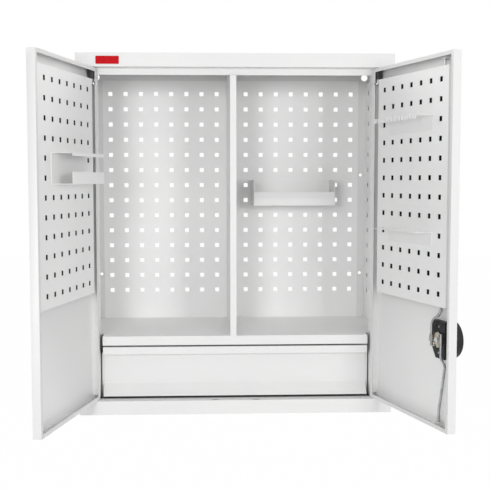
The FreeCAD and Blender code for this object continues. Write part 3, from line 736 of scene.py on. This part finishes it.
@dataclass
class Assembly:
    """A sub-assembly: a body of the frame, the nodes that it finishes and how their edges are eased."""

    frame: dict
    body: str
    fold: float = 0.45
    punched: float = 0.22
    merge_gap: float = 0.001
    flat_angle: float = 0.5

    def dress(self, piece: bpy.types.Object, finish: Finish, *nodes: str) -> None:
        """Gives a piece its finish, its body and the nodes that it stands for.

        Args:
            piece: the finished mesh.
            finish: its finish, or the main one of those that it already has.
            nodes: the nodes that it replaces.
        """
        if not piece.data.materials:
            piece.data.materials.append(finish.material())
        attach(piece, self.body)
        if nodes:
            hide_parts(*nodes)
        LOG.info("%s rides on %s", piece.name, self.body)

    @staticmethod
    def coat(
        piece: bpy.types.Object, finishes: Sequence[Finish], choose: Callable[[Vector, Vector], Finish]
    ) -> None:
        """Gives each face of a piece one of several finishes.

        Args:
            piece: the piece.
            finishes: the finishes, in the order of the piece's materials.
            choose: takes a face's centre and normal, and gives its finish.
        """
        for finish in finishes:
            piece.data.materials.append(finish.material())
        for face in piece.data.polygons:
            face.material_index = finishes.index(choose(face.center, face.normal))

    def formed(self, node: str) -> bpy.types.Object:
        """A merged copy of a node, with its flat faces whole again.

        Args:
            node: the node's name.

        Returns:
            The copy, free of the node's body and properties.
        """
        Bench.take(self.frame["nodes"][node])
        bpy.ops.object.duplicate(linked=False)
        bpy.ops.object.parent_clear(type="CLEAR_KEEP_TRANSFORM")
        piece = bpy.context.object
        for key in list(piece.keys()):
            del piece[key]
        piece.name = piece.data.name = f"{node}_formed"
        piece.data.materials.clear()
        Bench.edit(piece, Element.POINT)
        bpy.ops.mesh.remove_doubles(threshold=self.merge_gap * MM)
        bpy.ops.mesh.dissolve_limited(angle_limit=math.radians(self.flat_angle))
        Bench.clear()
        return piece

    def eased(self, node: str, finish: Finish, width: float, segments: int = 2) -> None:
        """Replaces a node by a copy with rounded edges.

        Args:
            node: the node's name.
            finish: its finish.
            width: rounding in millimetres.
            segments: steps of the rounding.
        """
        piece = self.formed(node)
        Bench.ease(piece, width, segments)
        self.dress(piece, finish, node)


@dataclass
class Carcass(Assembly):
    """The folded sheets that hang on the wall, with the tray, the pins and the blank plate."""

    body: str = "carcass"
    plate_left: float = -305.2
    plate_width: float = 50.5
    plate_low: float = 775.5
    plate_rise: float = 17.3
    plate_depth: float = 0.9
    plate_corner: float = 1.6
    plate_rim: float = 0.9
    plate_recess: float = 0.25
    plate_ease: float = 0.15
    corner_steps: int = 5
    rail_front: float = -300.0
    tray_back: float = -30.0

    def build(self) -> None:
        """Finishes every node of the carcass."""
        for node in ("top_panel", "bottom_panel"):
            self.eased(node, PAINT, self.fold)
        for side in Side:
            self.side_panel(side)
        for node in ("left_jamb", "right_jamb", "left_drawer_wall", "right_drawer_wall"):
            self.eased(node, LIT_INSIDE, self.fold)
        self.eased("centre_divider", PAINT, self.fold)
        # The shelf's top and the tray's faces behind its front get the inside's paler painted light.
        self.painted_light_faces("shelf", lambda centre, normal: normal.z > FACING)
        self.painted_light_faces("tool_tray", lambda centre, normal: centre.y > self.tray_back * MM)
        for node in ("back_panel", "left_side_liner", "right_side_liner"):
            self.eased(node, LIT_INSIDE, self.punched, segments=1)
        for node in ("left_slide_rail", "right_slide_rail"):
            self.eased(node, CROSSWISE, self.fold)
        for node in ("upper_hinge_pins", "lower_hinge_pins", "left_hinge_strap", "right_hinge_strap"):
            self.eased(node, DRAWN, self.fold)
        self.blank_plate()

    def side_panel(self, side: Side) -> None:
        """A side panel, with painted shade on its inner face where its perforated liner covers it.

        Args:
            side: the panel's side.
        """
        node = f"{side.value}_side_panel"
        piece = self.formed(node)
        low, high = (Vector(corner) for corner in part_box(f"{side.value}_side_liner"))
        Bench.ease(piece, self.fold)
        for axis in (INWARD, UP):
            for corner in (low, high):
                Bench.slice(piece, corner, axis)

        def choose(centre: Vector, normal: Vector) -> Finish:
            """Painted shade on the inner face, as far as the liner reaches."""
            covered = low.y < centre.y < high.y and low.z < centre.z < high.z
            return PAINTED_SHADE if covered and normal.x * side.hand > FACING else PAINT

        self.coat(piece, (PAINT, PAINTED_SHADE), choose)
        self.dress(piece, PAINT, node)

    def painted_light_faces(self, node: str, paler: Callable[[Vector, Vector], bool]) -> None:
        """A folded piece, with the paler painted light of the inside on some of its faces.

        Args:
            node: the node's name.
            paler: takes a face's centre and normal, and says whether it has the paler painted light.
        """
        piece = self.formed(node)
        Bench.ease(piece, self.fold)
        self.coat(piece, (PAINT, LIT_INSIDE), lambda *face: LIT_INSIDE if paler(*face) else PAINT)
        self.dress(piece, PAINT, node)

    def blank_plate(self) -> None:
        """A plain enamelled plate with rounded corners and a raised rim, on the top rail."""
        low = (
            self.plate_left * MM,
            (self.rail_front - self.plate_depth) * MM,
            self.plate_low * MM + UNDERSIDE,
        )
        high = (low[0] + self.plate_width * MM, self.rail_front * MM, low[2] + self.plate_rise * MM)
        piece = Bench.block("blank_plate", low, high)
        Bench.pick_edges(piece, lambda first, second: abs((first - second).normalized().y) > FACING)
        bpy.ops.mesh.bevel(offset=self.plate_corner * MM, segments=self.corner_steps, affect="EDGES")
        Bench.pick_faces(piece, lambda centre, normal: normal.y < -FACING)
        bpy.ops.mesh.inset(thickness=self.plate_rim * MM, depth=0.0)
        bpy.ops.transform.translate(value=INWARD * self.plate_recess * MM)
        Bench.clear()
        Bench.ease(piece, self.plate_ease)
        self.dress(piece, PLATE)


@dataclass
class Door(Assembly):
    """A door: its pan, perforated panel, hinge fittings and holders."""

    side: Side = Side.LEFT
    angle: float = -103.8
    hinge_across: float = 314.8
    hinge_front: float = -290.0
    hinge_flange: float = -7.2
    pan_floor: float = -9.0
    floor_slack: float = 0.3
    panel_ends: tuple[float, float] = (13.0, 304.0)
    panel_heights: tuple[float, float] = (275.0, 743.0)
    panel_rear: float = 4.0
    rear_slope: float = 0.5
    flange_slack: float = 1.0
    block_ease: float = 0.5
    bush_ease: float = 0.3

    def turn(self) -> Matrix:
        """From the door's own frame, closed and in metres, to the row's frame."""
        across = -self.side.hand * self.hinge_across
        base = Matrix.Translation((across * MM, self.hinge_front * MM, UNDERSIDE))
        return base @ Matrix.Rotation(math.radians(self.angle), 4, "Z")

    def heading(self, way: Vector) -> Vector:
        """A direction of the closed door, as a direction of the row's frame."""
        return self.turn().to_3x3() @ way

    def spot(self, along: float, inward: float, height: float) -> Vector:
        """A place on the door, in millimetres, as a point of the row's frame.

        Args:
            along: distance from the hinge axis.
            inward: distance inward from that axis.
            height: height over the cabinet's underside.

        Returns:
            The point in metres.
        """
        return self.turn() @ (Vector((along * self.side.hand, inward, height)) * MM)

    def build(self) -> None:
        """Finishes the nodes that both doors have."""
        self.pan()
        self.perforated_panel()
        self.eased(f"{self.side.value}_hinge_block", HINGE, self.block_ease)
        self.eased(f"{self.side.value}_lower_bush", PALE, self.bush_ease)

    def pan(self) -> None:
        """The door's pan, with painted shade on its floor under the perforated panel and in the gap on
        the panel's hinge side.
        """
        node = f"{self.side.value}_door_skin"
        piece = self.formed(node)
        inverse = self.turn().inverted()
        low, high = self.panel_heights
        cuts = [(self.spot(along, 0.0, 0.0), self.heading(ACROSS)) for along in self.panel_ends]
        cuts += [(self.spot(0.0, 0.0, height), UP) for height in self.panel_heights]
        Bench.ease(piece, self.fold)
        for place, normal in cuts:
            Bench.slice(piece, place, normal)
        near, far = sorted(end * self.side.hand for end in (self.hinge_flange, self.panel_ends[1]))

        def choose(centre: Vector, normal: Vector) -> Finish:
            """Paint, apart from the pan's floor: painted shade under the perforated panel and beside its
            hinge side, paler painted light elsewhere.
            """
            place = (inverse @ centre) / MM
            if abs(place.y - self.pan_floor) >= self.floor_slack:
                return PAINT
            return PAINTED_SHADE if near < place.x < far and low < place.z < high else LIT_INSIDE

        self.coat(piece, (PAINT, LIT_INSIDE, PAINTED_SHADE), choose)
        self.dress(piece, PAINT, node)

    def perforated_panel(self) -> None:
        """The perforated panel, with painted shade on its rear."""
        node = f"{self.side.value}_door_panel"
        piece = self.formed(node)
        Bench.ease(piece, self.punched, segments=1)
        inverse = self.turn().inverted()
        middle = sum(self.panel_ends) / 2 * self.side.hand

        def choose(centre: Vector, normal: Vector) -> Finish:
            """Painted shade on the rear, and on the sides of the flanges that look towards the panel's
            middle; paler painted light elsewhere.
            """
            place = (inverse @ centre) / MM
            facing = inverse.to_3x3() @ normal
            flange = place.y < self.panel_rear and (place.x - middle) * facing.x < -self.flange_slack
            return PAINTED_SHADE if flange or facing.y < -self.rear_slope else LIT_INSIDE

        self.coat(piece, (LIT_INSIDE, PAINTED_SHADE), choose)
        self.dress(piece, PAINT, node)


@dataclass
class LeftDoor(Door):
    """The left door, with the cradle holder."""

    body: str = "left_door"

    def build(self) -> None:
        """Finishes the left door."""
        super().build()
        self.eased("cradle_holder", LIT_INSIDE, self.fold)


@dataclass
class RightDoor(Door):
    """The right door, with its two holders, the lock case and the rod guides."""

    body: str = "right_door"
    side: Side = Side.RIGHT
    angle: float = 106.5
    panel_ends: tuple[float, float] = (13.0, 295.0)
    holder_ease: float = 0.3
    case_ease: float = 1.1
    guide_ease: float = 0.6
    screw_ease: float = 0.12
    drive_rim: float = 1.0
    drive_depth: float = 1.2

    def build(self) -> None:
        """Finishes the right door."""
        super().build()
        for node in ("comb_holder", "bored_holder"):
            self.holder(node)
        self.eased("lock_case", BLACK, self.case_ease, segments=3)
        for node in ("upper_rod_guide", "lower_rod_guide"):
            self.eased(node, PALE, self.guide_ease)
        self.case_screws()

    def holder(self, node: str) -> None:
        """A folded holder, its plate painted a shade darker than its ledge and cut edges, as painted
        shade.

        Args:
            node: the holder's name.
        """
        piece = self.formed(node)
        Bench.ease(piece, self.holder_ease)
        inward = self.heading(INWARD)

        def choose(centre: Vector, normal: Vector) -> Finish:
            """The darker painted shade on the plate's inner face."""
            return SHADED_HOLDER if normal.dot(inward) > FACING else LIT_INSIDE

        self.coat(piece, (LIT_INSIDE, SHADED_HOLDER), choose)
        self.dress(piece, LIT_INSIDE, node)

    def case_screws(self) -> None:
        """The screws of the lock case, flush so that the cam passes, each with a recessed drive."""
        piece = self.formed("lock_case_screws")
        inward = self.heading(INWARD)
        Bench.pick_faces(piece, lambda centre, normal: normal.dot(inward) > FACING)
        bpy.ops.mesh.inset(thickness=self.drive_rim * MM, use_individual=True)
        sunk = inward * -self.drive_depth * MM
        bpy.ops.mesh.extrude_region_move(TRANSFORM_OT_translate={"value": sunk})
        Bench.clear()
        Bench.ease(piece, self.screw_ease)
        self.dress(piece, DRAWN, "lock_case_screws")


@dataclass
class Lock:
    """Knob, barrel, cam and rods of the lock on the right door."""

    frame: dict
    door: RightDoor
    knob_ease: float = 2.2
    steel_ease: float = 0.4
    nut_ease: float = 0.5
    barrel_ease: float = 0.25
    rod_radius: float = 2.5
    round_steps: int = 6
    bend_radius: float = 20.0
    bend_steps: int = 7
    end_angle: float = 60.0
    upper_stops: Sequence[Place] = (
        (252.5, 8.9, 195.7),
        (252.5, 8.9, 247.0),
        (270.0, -1.5, 261.0),
        (270.0, -1.5, 768.0),
    )
    upper_fork: tuple[Place, Place] = ((252.5, 6.4, 195.7), (262.7, 8.9, 208.3))
    upper_slot: tuple[Place, Place] = ((255.4, 6.0, 198.7), (264.0, 9.3, 205.3))
    lower_stops: Sequence[Place] = (
        (287.5, 8.9, 224.3),
        (287.5, 8.9, 175.5),
        (287.5, -1.5, 161.5),
        (267.0, -1.5, 65.0),
        (267.0, -1.5, 32.5),
    )
    lower_fork: tuple[Place, Place] = ((277.3, 6.4, 211.7), (287.5, 8.9, 224.3))
    lower_slot: tuple[Place, Place] = ((276.0, 6.0, 214.7), (284.6, 9.3, 221.3))

    def build(self) -> None:
        """Finishes the moving pieces of the lock."""
        knob = Assembly(self.frame, "lock_knob")
        knob.eased("turn_knob", BLACK, self.knob_ease, segments=4)
        knob.eased("lock_spindle", BRIGHT, self.steel_ease)
        knob.eased("lock_cam", YELLOW, self.steel_ease)
        knob.eased("cam_nut", BRIGHT, self.nut_ease)
        Assembly(self.frame, "key_barrel").eased("lock_barrel", BRIGHT, self.barrel_ease)
        self.bent_rod("upper", self.upper_stops, self.upper_fork, self.upper_slot)
        self.bent_rod("lower", self.lower_stops, self.lower_fork, self.lower_slot)

    def bent_rod(
        self, name: str, stops: Sequence[Place], fork: tuple[Place, Place], slot: tuple[Place, Place]
    ) -> None:
        """A drawn wire with rounded bends, joined to the fork that holds its cam pin.

        Args:
            name: upper or lower.
            stops: corners of the wire's centre line, on the door.
            fork: opposite corners of the fork's plate, on the door.
            slot: opposite corners of what is cut out of it.
        """
        places = [Vector((-along, inward, height)) * MM for along, inward, height in stops]
        wire = self.wire(f"{name}_lock_rod_bent", places)
        plate = Bench.block(f"{name}_fork", *self.corners(*fork))
        cutter = Bench.block(f"{name}_slot", *self.corners(*slot))
        Bench.modify(plate, "BOOLEAN", operation="DIFFERENCE", object=cutter, solver="EXACT")
        Bench.take(cutter)
        bpy.ops.object.delete()
        Bench.ease(plate, self.steel_ease)
        piece = Bench.join(wire, plate)
        Bench.settle(piece, self.door.turn())
        Assembly(self.frame, f"{name}_rod").dress(piece, DRAWN, f"{name}_lock_rod")

    @staticmethod
    def corners(first: Place, second: Place) -> tuple[Place, Place]:
        """Lowest and highest corner, in the door's frame, of a box given by two corners on the door."""
        low = (-second[0] * MM, first[1] * MM, first[2] * MM)
        return low, (-first[0] * MM, second[1] * MM, second[2] * MM)

    def wire(self, name: str, places: Sequence[Vector]) -> bpy.types.Object:
        """A round wire along a line of places, with rounded bends and eased ends.

        Args:
            name: the piece's name.
            places: the corners of its centre line.

        Returns:
            The wire, in the frame of its places.
        """
        Bench.clear()
        bpy.ops.mesh.primitive_plane_add(size=MM, location=(0.0, 0.0, 0.0))
        Bench.edit(bpy.context.object, Element.POINT)
        bpy.ops.mesh.merge(type="CENTER")
        bpy.ops.transform.translate(value=places[0])
        for here, there in zip(places, places[1:]):
            bpy.ops.mesh.extrude_vertices_move(TRANSFORM_OT_translate={"value": there - here})
        for before, corner, after in zip(places, places[1:], places[2:]):
            half_turn = (corner - before).angle(after - corner) / 2
            reach = self.bend_radius * MM * math.tan(half_turn)
            Bench.pick_point(bpy.context.object, corner)
            bpy.ops.mesh.bevel(offset=reach, segments=self.bend_steps, affect="VERTICES")
        bpy.ops.object.mode_set(mode="OBJECT")
        bpy.ops.object.convert(target="CURVE")
        curve = bpy.context.object.data
        curve.bevel_depth = self.rod_radius * MM
        curve.bevel_resolution = self.round_steps
        curve.use_fill_caps = True
        bpy.ops.object.convert(target="MESH")
        piece = bpy.context.object
        piece.name = piece.data.name = name
        piece.data.materials.clear()
        Bench.ease(piece, self.steel_ease, angle=self.end_angle)
        return piece


@dataclass
class Drawer(Assembly):
    """The drawer and the moving members of its slides."""

    body: str = "drawer"
    slide_ease: float = 0.35

    def build(self) -> None:
        """Finishes the drawer."""
        self.eased("drawer_front", PAINT, self.fold)
        self.eased("drawer_box", LIT_INSIDE, self.fold)
        for side in Side:
            self.eased(f"{side.value}_slide_runner", CROSSWISE, self.slide_ease)
            slide = Assembly(self.frame, f"{side.value}_slide")
            slide.eased(f"{side.value}_slide_middle", CROSSWISE, self.slide_ease)


@dataclass(frozen=True)
class Lamp:
    """A square soft box: its name, its middle and edge in metres, and its power in watts."""

    name: str
    place: Place
    size: float
    power: float

    def hang(self, target: Place) -> None:
        """Adds the lamp to the scene.

        Args:
            target: the point that it faces.
        """
        Bench.clear()
        bpy.ops.object.light_add(type="AREA", location=self.place)
        lamp = bpy.context.object
        lamp.name = self.name
        lamp.data.shape = "SQUARE"
        lamp.data.size = self.size
        lamp.data.energy = self.power
        aim = Vector(target) - Vector(self.place)
        lamp.rotation_euler = aim.to_track_quat("-Z", "Y").to_euler()


@dataclass
class Studio:
    """Floor, lights, world and the camera of the photograph.

    Places and sizes are in metres, the camera's focal length, picture width and centre in pixels, and
    its sensor in millimetres.
    """

    lamps: Sequence[Lamp] = (
        Lamp("left_box", (-0.75, -2.9, 0.34), size=0.55, power=18.8),
        Lamp("right_box", (1.15, -2.8, 0.36), size=0.55, power=16.2),
        Lamp("top_box", (0.0, -3.0, 3.2), size=1.0, power=8.0),
        Lamp("left_fill", (-4.0, 1.4, 1.6), size=1.5, power=42.0),
        Lamp("right_fill", (4.0, 1.4, 1.6), size=1.5, power=42.0),
    )
    aim: Place = (0.0, -0.2, -0.05)
    ambient: float = 0.505
    floor_height: float = -1.25
    floor_reach: float = 14.0
    floor_light: Colour = (0.90, 0.90, 0.90, 1.0)
    floor_dark: Colour = (0.88, 0.88, 0.88, 1.0)
    floor_clouds: float = 2.0
    floor_whitened: float = 0.988
    camera_place: Place = (-0.08129, -2.282, 0.11535)
    pitch: float = -4.208
    yaw: float = -2.189
    roll: float = -0.063
    focal: float = 897.82
    frame_width: float = 490.0
    centre: float = 233.63
    sensor: float = 36.0
    sight: float = 100.0

    def build(self) -> None:
        """Sets the whole studio up."""
        self.world()
        self.floor()
        for lamp in self.lamps:
            lamp.hang(self.aim)
        self.camera()
        bpy.context.scene.view_settings.view_transform = "Standard"

    @staticmethod
    def seen(graph: Graph) -> Wire:
        """1 for rays from the camera, or that it gets by reflection or through a pane."""
        path = graph.raw("ShaderNodeLightPath", {}, {})
        kinds = ("Camera", "Glossy", "Transmission")
        camera, glossy, through = (Wire(graph, path.outputs[f"Is {kind} Ray"]) for kind in kinds)
        return (camera + glossy + through).ramp(low=0.0, high=1.0)

    def world(self) -> None:
        """White where it is seen, and a softer white as light."""
        world = bpy.context.scene.world or bpy.data.worlds.new("studio")
        bpy.context.scene.world = world
        graph = Graph(world)
        strength = self.seen(graph) * (1.0 - self.ambient) + self.ambient
        light = graph.node("ShaderNodeBackground", {}, {"Color": WHITE, "Strength": strength})
        graph.raw("ShaderNodeOutputWorld", {}, {"Surface": light})

    def floor(self) -> None:
        """A pale floor well under the cabinet, close to white where it is seen."""
        Bench.clear()
        bpy.ops.mesh.primitive_plane_add(size=self.floor_reach * 2, location=UP * self.floor_height)
        floor = bpy.context.object
        floor.name = "floor"
        material = bpy.data.materials.new("pale_floor")
        graph = Graph(material)
        clouds = graph.noise(graph.place(), self.floor_clouds)
        tone = graph.blend(clouds, self.floor_light, self.floor_dark)
        matt = graph.node("ShaderNodeBsdfDiffuse", {}, {"Color": tone})
        white = graph.node("ShaderNodeEmission", {}, {"Color": WHITE, "Strength": 1.0})
        share = self.seen(graph) * self.floor_whitened
        mixed = graph.node("ShaderNodeMixShader", {}, {0: share, 1: matt, 2: white})
        graph.raw("ShaderNodeOutputMaterial", {}, {"Surface": mixed})
        floor.data.materials.append(material)

    def camera(self) -> None:
        """The camera that the photograph was taken with."""
        Bench.clear()
        bpy.ops.object.camera_add(location=self.camera_place)
        camera = bpy.context.object
        turn = Matrix.Rotation(math.radians(self.yaw), 4, "Z")
        turn = turn @ Matrix.Rotation(math.radians(90.0 + self.pitch), 4, "X")
        turn = turn @ Matrix.Rotation(math.radians(self.roll), 4, "Z")
        camera.rotation_euler = turn.to_euler()
        camera.data.sensor_fit = "HORIZONTAL"
        camera.data.sensor_width = self.sensor
        camera.data.lens = self.focal * self.sensor / self.frame_width
        camera.data.shift_x = (self.frame_width / 2 - self.centre) / self.frame_width
        camera.data.clip_end = self.sight
        bpy.context.scene.camera = camera


def main() -> None:
    """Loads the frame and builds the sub-assemblies in order."""
    logging.basicConfig(level=logging.INFO, format="%(message)s")
    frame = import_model()
    Carcass(frame).build()
    LeftDoor(frame).build()
    right_door = RightDoor(frame)
    right_door.build()
    Lock(frame, right_door).build()
    Drawer(frame).build()
    Studio().build()


if __name__ == "__main__":
    main()
